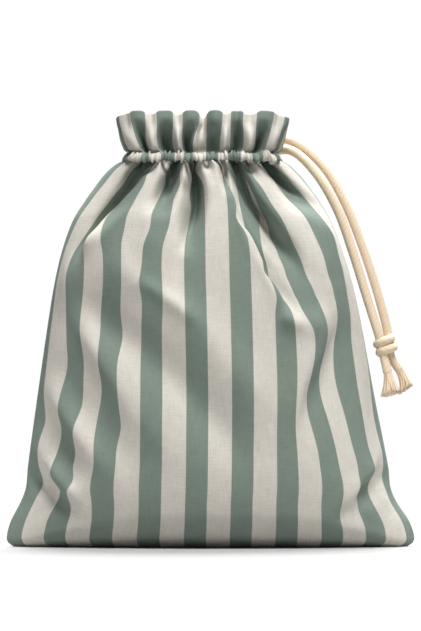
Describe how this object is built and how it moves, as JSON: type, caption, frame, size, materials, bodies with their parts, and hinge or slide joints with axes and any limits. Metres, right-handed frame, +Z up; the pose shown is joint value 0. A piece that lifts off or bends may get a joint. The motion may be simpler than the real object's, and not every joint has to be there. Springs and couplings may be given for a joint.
{
  "type": "gift pouch",
  "caption": "Drawstring gift pouch of striped cotton, standing filled out and drawn closed, with a puckered casing, a frill and a knotted cord.",
  "frame": {"origin": "middle of the pouch's base, on the surface it stands on", "axes": "+Z up the pouch, front facing -Y, +X to the right as seen from the front"},
  "size_m": [0.2538, 0.0956, 0.2678],
  "materials": {
    "striped_cotton": "matt plain weave, grey green and cream stripes",
    "cotton_cord": "matt twisted cotton"
  },
  "bodies": {
    "root": {"front_panel": "striped_cotton", "back_panel": "striped_cotton", "casing": "striped_cotton", "cord_outer": "cotton_cord", "cord_inner": "cotton_cord", "knot": "cotton_cord", "tail_left": "cotton_cord", "tail_right": "cotton_cord", "fray_left": "cotton_cord", "fray_right": "cotton_cord"}
  },
  "joints": []
}
